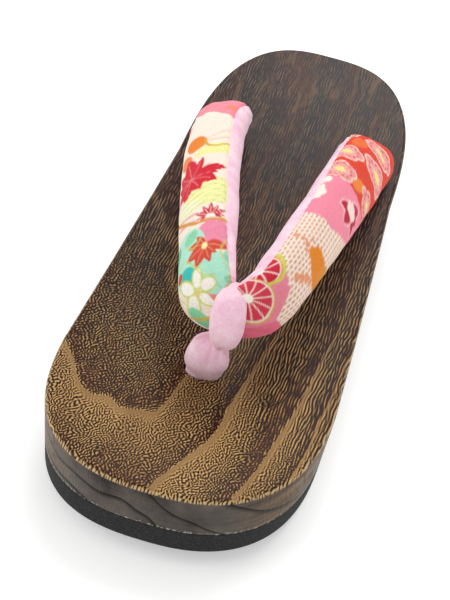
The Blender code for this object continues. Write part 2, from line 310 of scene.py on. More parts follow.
# %% Shade board and sole
def shade(piece, degrees=40):
    """Smooth shading that keeps edges sharper than this."""
    pick(piece)
    bpy.ops.object.shade_smooth_by_angle(angle=math.radians(degrees))
    print(piece.name, "has", sum(len(p.vertices) - 2 for p in piece.data.polygons), "triangles")


shade(board)
shade(sole)

# %% [markdown]
# ## The wood
# The board is paulownia, a light and soft wood, whose face was scorched, brushed and oiled. The
# brushing wears the soft early wood away, so the year rings show as broad bands that go from ochre to
# near black, with short wormy golden fibres in them. The rings are cones round the log's heart: their
# number grows with the distance from a line under the board, so the pattern is right on the walls too.

# %% Year rings
# where each ring starts, in square mm, and how light its middle is
RINGS = ((-900, 0.40), (250, 0.31), (1050, 0.46), (2000, 0.48), (3600, 0.44), (4610, 0.40),
         (5700, 0.40), (7000, 0.40))
RING_LOW, RING_HIGH = -1500.0, 7500.0
HEART_ASIDE, HEART_HEIGHT = 22.0, 28.0  # the heart of the log: mm to the right of the middle, and up
HEART_DIP, RING_RISE = 12.0, 110.0  # square mm added for each mm towards the toe, and for each mm up


def ring_stops():
    """Each ring starts light, as a smooth band, and darkens to its end."""
    stops = []
    for (start, middle), (end, _) in zip(RINGS, RINGS[1:]):
        for share, light in ((0.0, 1.0), (0.13, middle + 0.08), (0.55, 0.80 * middle), (0.965, 0.0)):
            place = (mix(start, end, share) - RING_LOW) / (RING_HIGH - RING_LOW)
            stops.append((place, (light, light, light, 1.0)))
    return stops


print("rings:", len(RINGS) - 1, "ramp stops:", len(ring_stops()))

# %% The finish of the wood starts
# scorched paulownia under a thin oil: satin, and warm where the fibres stand up
wood, tree, shader = new_finish("scorched_paulownia", IOR=1.45)
spot = add(tree, "TexCoord", out="Object")
spot = add(tree, "Mapping", {"Vector": spot, "Scale": (1000, 1000, 1000)})
x_mm, y_mm, z_mm = add(tree, "SeparateXYZ", {"Vector": spot}).node.outputs

# A slow noise, in waves of 20 to 60 mm, makes the rings wander.
drift = add(tree, "Mapping", {"Vector": spot, "Scale": (0.016, 0.05, 0.05)})
drift = add(tree, "TexNoise", {"Vector": drift, "Scale": 1.0, "Detail": 1.2})
drift = add(tree, "MapRange", {"Value": drift, "From Min": 0.25, "From Max": 0.75, "To Min": -330.0,
                               "To Max": 330.0})
aside = add(tree, "Math", {0: y_mm, 1: HEART_ASIDE}, operation="ADD")
aside = add(tree, "Math", {0: aside, 1: 2.0}, operation="POWER")
heart = add(tree, "Math", {0: x_mm, 1: HEART_DIP, 2: aside}, operation="MULTIPLY_ADD")
depth = add(tree, "Math", {0: z_mm, 1: -HEART_HEIGHT}, operation="ADD")
heart = add(tree, "Math", {0: depth, 1: RING_RISE, 2: heart}, operation="MULTIPLY_ADD")
heart = add(tree, "Math", {0: heart, 1: drift}, operation="ADD")
ring = add(tree, "MapRange", {"Value": heart, "From Min": RING_LOW, "From Max": RING_HIGH})
ring = add(tree, "ValToRGB", {"Fac": ring}, stops=ring_stops())
print("nodes up to the rings:", len(tree.nodes))

# %% [markdown]
# ### Wormy fibres
# Brushing leaves evenly spaced, wormy lines about a millimetre apart: curly at the toe, drawn out along
# the grain behind. A Gabor noise makes just such lines. The places where it is read are first moved
# about by a soft noise, by up to 2.5 mm, so that the lines wander.

# %% Fibres
toe_share = add(tree, "MapRange", {"Value": x_mm, "From Min": -60.0, "From Max": 90.0})
way = add(tree, "Mapping", {"Vector": spot, "Scale": (0.09, 0.09, 0.09)})
way = add(tree, "TexNoise", {"Vector": way, "Scale": 1.0, "Detail": 2.0}, out="Color")
way = add(tree, "VectorMath", {0: way, 1: (0.5, 0.5, 0.5)}, operation="SUBTRACT")
way = add(tree, "VectorMath", {0: way, "Scale": 5.0}, operation="SCALE")
bent = add(tree, "VectorMath", {0: spot, 1: way}, operation="ADD")
curly = add(tree, "Mapping", {"Vector": bent, "Scale": (0.72, 1.0, 1.0)})
curly = add(tree, "TexGabor", {"Vector": curly, "Scale": 0.54, "Frequency": 2.0, "Anisotropy": 0.25,
                               "Orientation": 1.45})
less_bent = add(tree, "VectorMath", {0: way, "Scale": 0.4}, operation="SCALE")
less_bent = add(tree, "VectorMath", {0: spot, 1: less_bent}, operation="ADD")
drawn = add(tree, "Mapping", {"Vector": less_bent, "Scale": (0.24, 1.0, 1.0)})
drawn = add(tree, "TexGabor", {"Vector": drawn, "Scale": 0.52, "Frequency": 2.0, "Anisotropy": 0.65,
                               "Orientation": 1.57})
curl_share = add(tree, "Math", {0: y_mm, 1: -1.1, 2: x_mm}, operation="MULTIPLY_ADD")
curl_share = add(tree, "MapRange", {"Value": curl_share, "From Min": 25.0, "From Max": 85.0})
grain = add(tree, "Mix", {"Factor": curl_share, "A": drawn, "B": curly})
print("nodes up to the fibres:", len(tree.nodes))

# %% [markdown]
# ### Tones of the face
# The face is lighter at the toe, and dull where the scorching went deeper at the heel. Where a ring
# starts, the fibres join up to a smooth ochre band; where it ends, they thin out over a reddish dark.
# Two-colour mixes driven by the fibres give all that, and keep each colour easy to pick.

# %% Fibres and bands in colour
light = add(tree, "MapRange", {"Value": toe_share, "To Min": 0.25})
light = add(tree, "Math", {0: ring, 1: light}, operation="MULTIPLY")
wider = add(tree, "Math", {0: light, 1: 0.20, 2: grain}, operation="MULTIPLY_ADD")
fibre = add(tree, "MapRange", {"Value": wider, "From Min": 0.54, "From Max": 0.71})
bright = add(tree, "MapRange", {"Value": light, "From Max": 0.5, "To Min": 0.78})
bright = add(tree, "Math", {0: fibre, 1: bright}, operation="MULTIPLY")
band = add(tree, "MapRange", {"Value": light, "From Min": 0.52, "From Max": 0.86, "To Max": 0.95})
share = add(tree, "Mix", {"Factor": band, "A": bright, "B": 0.48})
dark = add(tree, "Mix", {"Factor": toe_share, "A": linear("#1d191b"), "B": linear("#1f130e")},
           data_type="RGBA", out=2)
ring_end = add(tree, "MapRange", {"Value": ring, "From Min": 0.30, "From Max": 0.05, "To Max": 0.6})
dark = add(tree, "Mix", {"Factor": ring_end, "A": dark, "B": linear("#3a170f")}, data_type="RGBA", out=2)
gold = add(tree, "Mix", {"Factor": toe_share, "A": linear("#7c6858"), "B": linear("#d0a266")},
           data_type="RGBA", out=2)
tone = add(tree, "Mix", {"Factor": share, "A": dark, "B": gold}, data_type="RGBA", out=2)
print("nodes up to the bands:", len(tree.nodes))

# %% Stain and streaks
# A reddish oil stain lies in streaks about 13 mm wide and ten times as long.
stain = add(tree, "Mapping", {"Vector": spot, "Scale": (0.008, 0.075, 0.075)})
stain = add(tree, "TexNoise", {"Vector": stain, "Scale": 1.0, "Detail": 2.0})
stain = add(tree, "MapRange", {"Value": stain, "From Min": 0.5, "From Max": 0.75, "To Max": 0.40})

# Behind the straps, amber streaks 2 to 3 mm wide run lengthwise.
amber = add(tree, "Mapping", {"Vector": bent, "Scale": (0.005, 0.42, 0.42)})
amber = add(tree, "TexNoise", {"Vector": amber, "Scale": 1.0, "Detail": 4.0, "Roughness": 0.7})
amber = add(tree, "MapRange", {"Value": amber, "From Min": 0.52, "From Max": 0.64, "To Max": 0.70})
behind = add(tree, "MapRange", {"Value": x_mm, "From Min": 30.0, "From Max": -50.0})
amber = add(tree, "Math", {0: amber, 1: behind}, operation="MULTIPLY")
print("nodes up to the face:", len(tree.nodes))

# %% [markdown]
# ### Tones of the walls
# The walls are sawn and not brushed: long streaks a millimetre high on the sides, grey end grain at toe
# and heel, worn paler in patches, with a painted sheen that makes it paler still towards the corners,
# and a thin dark line where a ring ends. One material does for the whole board, because the surface
# normal tells face, side and end apart.

# %% Walls
facing = add(tree, "TexCoord", out="Normal")
forward, _, upward = add(tree, "SeparateXYZ", {"Vector": facing}).node.outputs
wall = add(tree, "MapRange", {"Value": upward, "From Min": 0.55, "From Max": 0.15})
end_share = add(tree, "Math", {0: forward}, operation="ABSOLUTE")
end_share = add(tree, "MapRange", {"Value": end_share, "From Min": 0.35, "From Max": 0.85})
streak = add(tree, "Mapping", {"Vector": spot, "Scale": (0.012, 0.012, 0.9)})
streak = add(tree, "TexNoise", {"Vector": streak, "Scale": 1.0, "Detail": 5.0, "Roughness": 0.75})
streak = add(tree, "MapRange", {"Value": streak, "From Min": 0.36, "From Max": 0.62})
side_tone = add(tree, "Mix", {"Factor": streak, "A": linear("#20130a"), "B": linear("#7c5f3d")},
                data_type="RGBA", out=2)
end_tone = add(tree, "Mix", {"Factor": streak, "A": linear("#0e0b0a"), "B": linear("#39332f")},
               data_type="RGBA", out=2)
# The end grain is worn paler in patches, and a painted sheen makes it paler grey towards the corners.
wear_and_sheen = add(tree, "TexNoise", {"Vector": spot, "Scale": 0.028, "Detail": 4.0, "Roughness": 0.65})
outer = add(tree, "Math", {0: y_mm, 1: -4.0}, operation="ADD")
outer = add(tree, "Math", {0: outer, 1: outer}, operation="MULTIPLY")
wear_and_sheen = add(tree, "Math", {0: outer, 1: 0.00015, 2: wear_and_sheen}, operation="MULTIPLY_ADD")
wear_and_sheen = add(tree, "MapRange", {"Value": wear_and_sheen, "From Min": 0.48, "From Max": 0.74, "To Max": 0.6})
end_tone = add(tree, "Mix", {"Factor": wear_and_sheen, "A": end_tone, "B": linear("#776e66")}, data_type="RGBA", out=2)
wall_tone = add(tree, "Mix", {"Factor": end_share, "A": side_tone, "B": end_tone}, data_type="RGBA", out=2)
line = add(tree, "MapRange", {"Value": ring, "From Min": 0.17, "From Max": 0.04, "To Max": 0.9})
wall_tone = add(tree, "Mix", {"Factor": line, "A": wall_tone, "B": linear("#070504")},
                data_type="RGBA", out=2)
print("nodes up to the walls:", len(tree.nodes))

# %% Glue beads
# Beads of dried glue, half a millimetre across, sit on the joint, whose height follows the toe spring.
spring_rate = TOE_SPRING / (HALF_LENGTH - FLAT_END) ** 2 / 1000
joint = add(tree, "Math", {0: x_mm, 1: -1000 * FLAT_END}, operation="ADD")
joint = add(tree, "Math", {0: joint, 1: 0.0}, operation="MAXIMUM")
joint = add(tree, "Math", {0: joint, 1: 2.0}, operation="POWER")
joint = add(tree, "Math", {0: joint, 1: -spring_rate, 2: z_mm}, operation="MULTIPLY_ADD")
joint = add(tree, "MapRange", {"Value": joint, "From Min": 9.9, "From Max": 9.0})
beads = add(tree, "TexNoise", {"Vector": spot, "Scale": 0.9, "Detail": 2.0})
beads = add(tree, "MapRange", {"Value": beads, "From Min": 0.56, "From Max": 0.62})
beads = add(tree, "Math", {0: joint, 1: beads}, operation="MULTIPLY")
print("height of the joint at the toe in mm:", round(1000 * sole_top(HALF_LENGTH), 1))

# %% Rim
# The rim is rubbed back to bare golden fibres, ragged, most of all round the toe.
rim = add(tree, "Math", {0: upward, 1: upward}, operation="MULTIPLY")
rim = add(tree, "Math", {0: upward, 1: rim}, operation="SUBTRACT")
rim = add(tree, "MapRange", {"Value": rim, "From Min": 0.09, "From Max": 0.22})
ragged = add(tree, "MapRange", {"Value": grain, "From Min": 0.42, "From Max": 0.56, "To Min": 0.05})
rim = add(tree, "Math", {0: rim, 1: ragged}, operation="MULTIPLY")
rim = add(tree, "Math", {0: rim, 1: toe_share}, operation="MULTIPLY")
print("nodes up to the rim:", len(tree.nodes))

# %% Lay the colours over one another
# Stain and amber lie on the face, then come the walls' own tones with the glue on them. The rubbed rim
# is last, because it shows on the face and on the walls.
for cover, colour in ((stain, linear("#5a3420")), (amber, linear("#6b4f3a")), (wall, wall_tone),
                      (beads, linear("#9a958f")), (rim, linear("#ccac7e"))):
    tone = add(tree, "Mix", {"Factor": cover, "A": tone, "B": colour}, data_type="RGBA", out=2)
tree.links.new(tone, shader.inputs["Base Color"])
print("nodes for the colour:", len(tree.nodes))

# %% Relief and shine of the wood
# Brushed relief: the fibres stand about a tenth of a millimetre over the scorched wood.
relief = add(tree, "Bump", {"Height": share, "Strength": 0.5, "Distance": 0.0002})
tree.links.new(relief, shader.inputs["Normal"])
gloss = add(tree, "MapRange", {"Value": share, "To Min": 0.36, "To Max": 0.55})
tree.links.new(gloss, shader.inputs["Roughness"])

# The oil shines where it lies thick, at the heel, and hardly where the toe is brushed dry.
shine = add(tree, "MapRange", {"Value": x_mm, "From Min": -110.0, "From Max": -20.0, "To Min": 0.26,
                               "To Max": 0.10})
tree.links.new(shine, shader.inputs["Specular IOR Level"])
board.data.materials.append(wood)
print("nodes in the wood:", len(tree.nodes))

# %% [markdown]
# ## The rubber
# The sole is foamed rubber, cut from a sheet and glued on. It is matt and charcoal, with a fine
# pebbled skin, and it has no shine to speak of. A fine noise in the bump is enough for it.

# %% Charcoal foamed rubber
# foamed rubber with its moulded skin: dull, with pebbles about 0.7 mm wide that only just catch the light
rubber, tree, shader = new_finish("foamed_rubber", Roughness=0.85, Specular_IOR_Level=0.2)
spot = add(tree, "TexCoord", out="Object")
pebble = add(tree, "TexNoise", {"Vector": spot, "Scale": 1400.0, "Detail": 3.0})
tone = add(tree, "ValToRGB", {"Fac": pebble}, stops=[(0.35, linear("#1e1e1f")), (0.70, linear("#333334"))])
tree.links.new(tone, shader.inputs["Base Color"])
relief = add(tree, "Bump", {"Height": pebble, "Strength": 0.5, "Distance": 0.0002})
tree.links.new(relief, shader.inputs["Normal"])
sole.data.materials.append(rubber)
print("nodes in the rubber:", len(tree.nodes))

# %% Tie board and sole to the frame
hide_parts("wood_deck")
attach(board, "root")
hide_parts("rubber_sole")
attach(sole, "root")
print("in the frame:", board.name, "and", sole.name)

# %% [markdown]
# ## The padded straps
# The straps are one cloth tube, stuffed with cotton round a cord. Its outside is printed crepe and its
# inside velvet, sewn together along two seams. The tube runs from one rear hole round the front joint
# to the other, standing nearly on edge. A soft tube like this is easiest to loft through sections that
# follow a table of shares, because each section turns, narrows and flattens in its own way.

# %% The straps' path
STRAP_WIDTH, STRAP_DEPTH, STRAP_POWER = 0.0236, 0.0164, 2.2
JOINT_X, STRAP_RISE, JOINT_LEAN, JOINT_TWIST = 0.0585, 0.0300, 0.0045, 8.0
STRAP_NECK, STRAP_TAIL = 0.0100, 0.0120
# run, spread, lift, sink, lean, width, depth, neck, heading, roll: from the joint to a rear hole
STRAP_TABLE = (
    (0.000, 0.00, 0.82, 0.0, 1.00, 0.56, 0.52, 0.0, 0, 89),
    (0.004, 0.20, 0.83, 0.0, 1.00, 0.70, 0.58, 0.0, 26, 84),
    (0.028, 0.34, 0.90, 0.0, 1.05, 0.89, 0.66, 0.0, 52, 79),
    (0.070, 0.42, 0.97, 0.0, 1.15, 0.95, 0.78, 0.0, 68, 76),
    (0.125, 0.46, 1.00, 0.0, 1.15, 0.98, 0.90, 0.0, 74, 74),
    (0.245, 0.56, 0.98, 0.0, 1.00, 1.00, 1.00, 0.0, 76, 72),
    (0.385, 0.68, 0.91, 0.0, 0.75, 1.00, 1.00, 0.0, 78, 68),
    (0.535, 0.79, 0.80, 0.0, 0.48, 0.99, 0.98, 0.0, 80, 62),
    (0.680, 0.88, 0.65, 0.0, 0.24, 0.97, 0.95, 0.0, 83, 54),
    (0.800, 0.93, 0.49, 0.0, 0.10, 0.94, 0.90, 0.0, 86, 45),
    (0.885, 0.96, 0.345, 0.0, 0.04, 0.90, 0.86, 0.0, 88, 36),
    (0.940, 0.98, 0.26, 0.0, 0.00, 0.86, 0.76, 0.0, 90, 24),
    (0.982, 1.00, 0.165, 0.0, 0.00, 0.76, 0.62, 0.1, 90, 10),
    (1.000, 1.00, 0.08, 0.0, 0.00, 0.62, 0.60, 0.4, 90, 0),
    (1.000, 1.00, 0.03, 0.0, 0.00, 0.50, 0.60, 1.0, 90, 0),
    (1.000, 1.00, 0.00, 0.4, 0.00, 0.50, 0.60, 1.0, 90, 0),
    (1.000, 1.00, 0.00, 0.9, 0.00, 0.50, 0.60, 1.0, 90, 0),
)


print("distance from joint to rear hole in mm:", round(1000 * math.hypot(JOINT_X - REAR_HOLE_X, REAR_HOLE_Y)))


# %% From the table to sections
def strap_station(row, side):
    """Centre, heading, width, depth and roll of a section; side is 1 for the left leg, -1 for the right."""
    run, spread, lift, sink, lean, width, depth, neck, heading, roll = row
    x = mix(JOINT_X, REAR_HOLE_X, run)
    return (x, side * spread * REAR_HOLE_Y + lean * JOINT_LEAN,
            deck_top(x) + lift * STRAP_RISE - sink * STRAP_TAIL, side * heading,
            mix(width * STRAP_WIDTH, STRAP_NECK, neck), mix(depth * STRAP_DEPTH, STRAP_NECK, neck),
            roll + side * lean * spread * JOINT_TWIST)


def smooth_rows(rows, steps):
    """Rows between the given ones, on a smooth curve through them all."""
    rows = np.array(rows, float)
    result = []
    for index in range(len(rows) - 1):
        a, b = rows[max(index - 1, 0)], rows[index]
        c, d = rows[index + 1], rows[min(index + 2, len(rows) - 1)]
        for t in np.arange(steps) / steps:
            result.append(0.5 * (2 * b + (c - a) * t + (2 * a - 5 * b + 4 * c - d) * t ** 2
                                 + (3 * b - a - 3 * c + d) * t ** 3))
    return np.array(result + [rows[-1]])


def oval(centre, across, through, turns, power):
    """Points of a full oval at the given turns, in degrees."""
    turns = np.radians(turns)
    c, s = np.cos(turns), np.sin(turns)
    c = np.sign(c) * np.abs(c) ** (2 / power)
    s = np.sign(s) * np.abs(s) ** (2 / power)
    return centre + np.outer(c, across) + np.outer(s, through)


print("height of the joint's middle in mm:", round(1000 * strap_station(STRAP_TABLE[0], 1)[2], 1))


# %% [markdown]
# ### The tube
# Round the tube, a turn of 0 degrees is the lower edge, 90 the outer face, 180 the upper edge and 270
# the inner face. The print covers the outer face from seam to seam. The upper seam wanders: near the
# heel it lies on the outer side of the edge, near the toe on the inner side. Each vertex keeps its
# place along the strap and round it in a UV map, in millimetres, which the print is drawn on.

# %% Where the seams run
PRINT_COLUMNS, LINING_COLUMNS = 24, 10
LOWER_SEAM = -24.0
SEAM_WAY = ((-140, 148), (-120, 153), (-100, 165), (-80, 171), (-60, 176), (-40, 182), (-25, 192),
            (-10, 203), (0, 206), (10, 197), (22, 188), (40, 185), (60, 187), (85, 186), (105, 182),
            (120, 174), (140, 165))
MM_PER_DEGREE = 0.178


def upper_seam(v):
    return np.interp(v, [row[0] for row in SEAM_WAY], [row[1] for row in SEAM_WAY])


print("turn of the upper seam at the joint:", upper_seam(0.0))


# %% Sections of the tube
def strap_tube():
    """Sections of the tube, with their places along it in mm and the turns of their points."""
    rows = [strap_station(row, -1) for row in reversed(STRAP_TABLE[1:])]
    rows += [strap_station(row, 1) for row in STRAP_TABLE]
    steps = 5
    stations = smooth_rows(rows, steps)
    centres = stations[:, :3]
    frames = []
    for index, row in enumerate(stations):
        along = centres[min(index + 1, len(centres) - 1)] - centres[max(index - 1, 0)]
        along /= np.linalg.norm(along)
        heading, roll = np.radians(row[3]), np.radians(row[6])
        outward = np.array([math.cos(heading), math.sin(heading), 0.0])
        outward -= along * outward.dot(along)
        outward /= np.linalg.norm(outward)
        upward = np.cross(outward, along)
        frames.append((outward * math.cos(roll) - upward * math.sin(roll),
                       outward * math.sin(roll) + upward * math.cos(roll)))
    face = np.array([oval(c, f[0] * r[4] / 2, f[1] * r[5] / 2, [100.0], STRAP_POWER)[0]
                     for c, f, r in zip(centres, frames, stations)])
    along = np.r_[0, np.cumsum(np.linalg.norm(np.diff(face, axis=0), axis=1))] * 1000
    along -= along[(len(STRAP_TABLE) - 1) * steps]
    sections, turns = [], []
    for index, row in enumerate(stations):
        seam = float(upper_seam(along[index]))
        turn = np.r_[np.linspace(LOWER_SEAM, seam, PRINT_COLUMNS + 1)[:-1],
                     np.linspace(seam, 360 + LOWER_SEAM, LINING_COLUMNS + 1)[:-1]]
        across, through = frames[index]
        sections.append(oval(centres[index], across * row[4] / 2, through * row[5] / 2, turn, STRAP_POWER))
        turns.append(turn)
    return np.array(sections), along, np.array(turns)


rings, strap_along, strap_turns = strap_tube()
print("strap length in mm:", round(float(strap_along[-1] - strap_along[0])))


# %% From rings to a mesh
def mesh_of_rings(name, rings, uv=None, split=None):
    """A closed tube through rings of points; split is the column where the second material starts."""
    rows, columns = rings.shape[:2]
    faces = [(r * columns + c, r * columns + (c + 1) % columns,
              (r + 1) * columns + (c + 1) % columns, (r + 1) * columns + c)
             for r in range(rows - 1) for c in range(columns)]
    ends = [tuple(range(columns))[::-1], tuple((rows - 1) * columns + c for c in range(columns))]
    mesh = bpy.data.meshes.new(name)
    mesh.from_pydata(rings.reshape(-1, 3).tolist(), [], faces + ends)
    piece = bpy.data.objects.new(name, mesh)
    bpy.context.scene.collection.objects.link(piece)
    if uv is not None:
        along, turns = uv
        layer = mesh.uv_layers.new(name="cloth")
        for face, polygon in zip(faces, mesh.polygons):
            r, c = divmod(face[0], columns)
            after = turns[:, c + 1] if c + 1 < columns else turns[:, 0] + 360
            spots = ((along[r], turns[r, c]), (along[r], after[r]),
                     (along[r + 1], after[r + 1]), (along[r + 1], turns[r + 1, c]))
            for loop, (v, turn) in zip(polygon.loop_indices, spots):
                layer.data[loop].uv = (v, turn * MM_PER_DEGREE)
            polygon.material_index = 1 if c >= split else 0
    pick(piece)
    bpy.ops.object.mode_set(mode="EDIT")
    bpy.ops.mesh.select_all(action="SELECT")
    bpy.ops.mesh.normals_make_consistent(inside=False)
    bpy.ops.object.mode_set(mode="OBJECT")
    return piece


def subdivide(piece, levels):
    """Round a piece off with an applied Subdivision Surface."""
    surf = piece.modifiers.new("round", "SUBSURF")
    surf.levels = surf.render_levels = levels
    pick(piece)
    bpy.ops.object.modifier_apply(modifier=surf.name)


# %% Close the joint and build the tube
# Behind the loop the two legs press against each other, so their inner faces close up there.
aside = rings[:, :, 1] - JOINT_LEAN
closing = 0.0034 * np.clip((rings[:, :, 0] - 0.037) / 0.014, 0, 1) * np.exp(-(aside / 0.0060) ** 2)
closed = np.maximum(np.abs(aside) - closing, np.minimum(np.abs(aside), 0.00015))
rings[:, :, 1] = JOINT_LEAN + np.sign(aside) * closed
straps = mesh_of_rings("padded_straps", rings, (strap_along, strap_turns), PRINT_COLUMNS)
subdivide(straps, 2)
straps.data.shade_smooth()
print("strap vertices:", len(straps.data.vertices))

# %% [markdown]
# ### Seams and creases
# Sewn cloth dips at a seam, and it puckers a little beside the stitches. Where the loop squeezes the
# straps and where their ends dive into the holes, the cloth is gathered into lengthwise creases.
# Vertices are moved along their normals for both, with a noise stretched along the strap for creases.

# %% Read and move the cloth
def cloth_places(piece):
    """Place along the cloth and round it, in mm, of each vertex."""
    mesh = piece.data
    loops = np.zeros(2 * len(mesh.loops))
    mesh.uv_layers["cloth"].data.foreach_get("uv", loops)
    index = np.zeros(len(mesh.loops), int)
    mesh.loops.foreach_get("vertex_index", index)
    places = np.zeros((len(mesh.vertices), 2))
    places[index] = loops.reshape(-1, 2)
    return places[:, 0], places[:, 1]


def move_along_normals(piece, amounts):
    mesh = piece.data
    spots = np.zeros(3 * len(mesh.vertices))
    ways = np.zeros(3 * len(mesh.vertices))
    mesh.vertices.foreach_get("co", spots)
    mesh.vertices.foreach_get("normal", ways)
    spots = spots.reshape(-1, 3) + ways.reshape(-1, 3) * amounts[:, None]
    mesh.vertices.foreach_set("co", spots.ravel())
    mesh.update()


def soft_noise(points, seed):
    return np.array([noise.noise(Vector((float(a), float(b), seed))) for a, b in points])


v_mm, w_mm = cloth_places(straps)
print("the cloth's reach in mm:", round(float(np.ptp(v_mm))), "by", round(float(np.ptp(w_mm))))

# %% Seams and soft rolls
seam_w = upper_seam(v_mm) * MM_PER_DEGREE
lower_w = LOWER_SEAM * MM_PER_DEGREE
from_seam = np.minimum(np.abs(w_mm - seam_w),
                       np.minimum(np.abs(w_mm - lower_w), np.abs(w_mm - lower_w - 360 * MM_PER_DEGREE)))
stitch_dip = -0.00045 * np.exp(-(from_seam / 0.7) ** 2)
pucker = 0.00010 * np.exp(-(from_seam / 3.0) ** 2) * np.sin(v_mm * 2 * math.pi / 3.6)
gather = np.exp(-(v_mm / 16) ** 2) + np.exp(-((np.abs(v_mm) - 134) / 12) ** 2)
creases = soft_noise(np.c_[v_mm / 14, w_mm / 2.6], 3.0) * 0.00030 * gather
rolls = soft_noise(np.c_[v_mm / 11, w_mm / 9], 8.0) * 0.00035

# %% Main creases
# They are given one by one: start and end in mm, half width, depth; a negative depth is a ridge.
CREASES = ((-5, 30, -22, 25, 1.1, 0.55), (-6, 24, -19, 17, 1.2, 0.40), (-5, 17, -14, 11, 1.3, 0.45),
           (-6, 34, -26, 33.5, 1.0, 0.50), (-7, 27.5, -18, 22, 1.2, -0.30), (6, 31, 20, 27, 1.1, 0.45),
           (6, 22, 17, 16, 1.3, 0.35), (5, 14, 13, 8, 1.4, 0.50), (7, 35, 27, 34.5, 1.0, 0.50),
           (6.5, 27, 16, 23, 1.2, -0.25), (-128, 22, -139, 18, 1.4, 0.60), (-127, 12, -138, 14, 1.5, 0.50),
           (-124, 30, -136, 28, 1.2, 0.40), (129, 24, 140, 20, 1.4, 0.60), (128, 13, 139, 15, 1.5, 0.50),
           (126, 31, 137, 28, 1.2, 0.40), (-60, 9, -78, 12, 2.6, 0.35), (-96, 22, -108, 27, 2.4, 0.30),
           (52, 10, 70, 13, 2.6, 0.35), (98, 22, 112, 26, 2.4, 0.30))


def trough(start_v, start_w, end_v, end_w, half_width, depth):
    """A soft dent along a line, fading out at both of its ends."""
    way = np.array((end_v - start_v, end_w - start_w), float)
    share = ((v_mm - start_v) * way[0] + (w_mm - start_w) * way[1]) / (way @ way)
    off = np.abs((v_mm - start_v) * way[1] - (w_mm - start_w) * way[0]) / np.linalg.norm(way)
    taper = np.clip(np.sin(math.pi * np.clip(share, 0, 1)), 0, 1) ** 0.7
    return -depth / 1000 * taper * np.exp(-(off / half_width) ** 2)


by_hand = sum(trough(*crease) for crease in CREASES)
move_along_normals(straps, stitch_dip + pucker + creases + rolls + by_hand)
print("deepest crease in mm:", round(-1000 * float(by_hand.min()), 2))

# %% [markdown]
# ### The print
# Crepe for such straps is printed with the usual garden of a summer kimono: chrysanthemum wheels, plum
# blossom, clouds and tie-dyed dots on coral, cream and mint. Each kind of motif is one small function
# that gives a soft mask over the cloth, in millimetres, and the straps are painted with them from the
# ground up, as a printer lays one colour after another. The result is kept as a colour attribute.

# %% Colours and masks
CREAM, CRIMSON, ORANGE, PEACH = "#fbeadb", "#d9243f", "#f08522", "#f8c6a4"
LEMON, LIME, MINT, TEAL, GOLD = "#f4f0a0", "#cfd552", "#b4ead0", "#42c3bb", "#dfae3e"

paint = np.tile(np.array(linear(CREAM)[:3]), (len(v_mm), 1))
bare_cloth = paint.copy()


def covered():
    """How much of the cloth is printed on, in percent."""
    return round(100 * float(np.any(paint != bare_cloth, axis=1).mean()))


def lay(mask, colour):
    """Print one colour through a mask."""
    paint[:] += (np.array(linear(colour)[:3]) - paint) * np.clip(mask, 0, 1)[:, None]


def soft(distance, edge=0.22):
    """1 inside, 0 outside, with a narrow soft border; distance in mm, negative inside."""
    return np.clip(0.5 - distance / (2 * edge), 0, 1)


def local(v, w, turn=0.0):
    """Coordinates about a point of the cloth, turned by some degrees."""
    c, s = math.cos(math.radians(turn)), math.sin(math.radians(turn))
    a, b = v_mm - v, w_mm - w
    return a * c + b * s, b * c - a * s


print("places to print on:", len(paint))


# %% Shapes
def blob(v, w, long, wide, turn=0.0, lobes=0, depth=0.0):
    """An oval, with scalloped lobes for a cloud."""
    a, b = local(v, w, turn)
    swell = 1 + depth * np.abs(np.cos(lobes * np.arctan2(b, a) / 2)) if lobes else 1.0
    return soft((np.hypot(a / long, b / wide) - swell) * min(long, wide))


def petal(v, w, turn, length, width, start=0.0):
    """A pointed petal from a centre outwards."""
    a, b = local(v, w, turn)
    share = np.clip((a - start) / (length - start), 0, 1)
    half = width / 2 * np.sin(math.pi * share ** 0.8) ** 0.8
    return soft(np.abs(b) - half) * (a > start) * (a < length)


def stroke(points, width):
    """A line through points, as drawn with a brush."""
    points = smooth_rows(points, 6)
    nearest = np.full(len(v_mm), 1e9)
    for (v0, w0), (v1, w1) in zip(points, points[1:]):
        way = np.array((v1 - v0, w1 - w0))
        share = np.clip(((v_mm - v0) * way[0] + (w_mm - w0) * way[1]) / (way @ way + 1e-9), 0, 1)
        nearest = np.minimum(nearest, np.hypot(v_mm - v0 - share * way[0], w_mm - w0 - share * way[1]))
    return soft(nearest - width / 2)


print("a blob of 5 mm covers", int((blob(0, 16, 5, 5) > 0.5).sum()), "places")


# %% Motifs
def wheel(v, w, radius, petals=12, turn=0.0, colour=CRIMSON, squash=1.0):
    """A chrysanthemum wheel: coloured petals between cream spokes, a cream heart and a gold rim."""
    a, b = local(v, w, turn)
    a = a / squash
    r, angle = np.hypot(a, b), np.arctan2(b, a)
    lay(soft(r - radius), GOLD)
    lay(soft(r - radius + 0.6), CREAM)
    sector = 2 * math.pi / petals
    off = np.abs((angle / sector) % 1 - 0.5) * sector
    side = r * (sector / 2 - off)
    lay(soft(0.24 - side) * soft(r - radius * 0.88) * soft(radius * 0.2 - r), colour)
    lay(soft(r - radius * 0.19), "#fdf6e6")


def plum(v, w, radius, colour="#f19a96", turn=20.0):
    """A plum blossom: five round petals with a pale edge, thin stamens and a yellow heart."""
    for size, fill in ((0.50, "#fcdccf"), (0.41, colour)):
        for petal_turn in range(0, 360, 72):
            angle = math.radians(petal_turn + turn)
            pv, pw = v + 0.50 * radius * math.cos(angle), w + 0.55 * radius * math.sin(angle)
            lay(blob(pv, pw, size * radius, size * radius), fill)
    for stamen in range(0, 360, 30):
        angle = math.radians(stamen + turn)
        tip = (v + 0.66 * radius * math.cos(angle), w + 0.66 * radius * math.sin(angle))
        lay(0.7 * stroke([(v, w), tip], 0.30), "#fdeee0")
        lay(blob(*tip, 0.48, 0.48), "#c8203c")
    lay(blob(v, w, 0.24 * radius, 0.34 * radius), "#f6e48c")


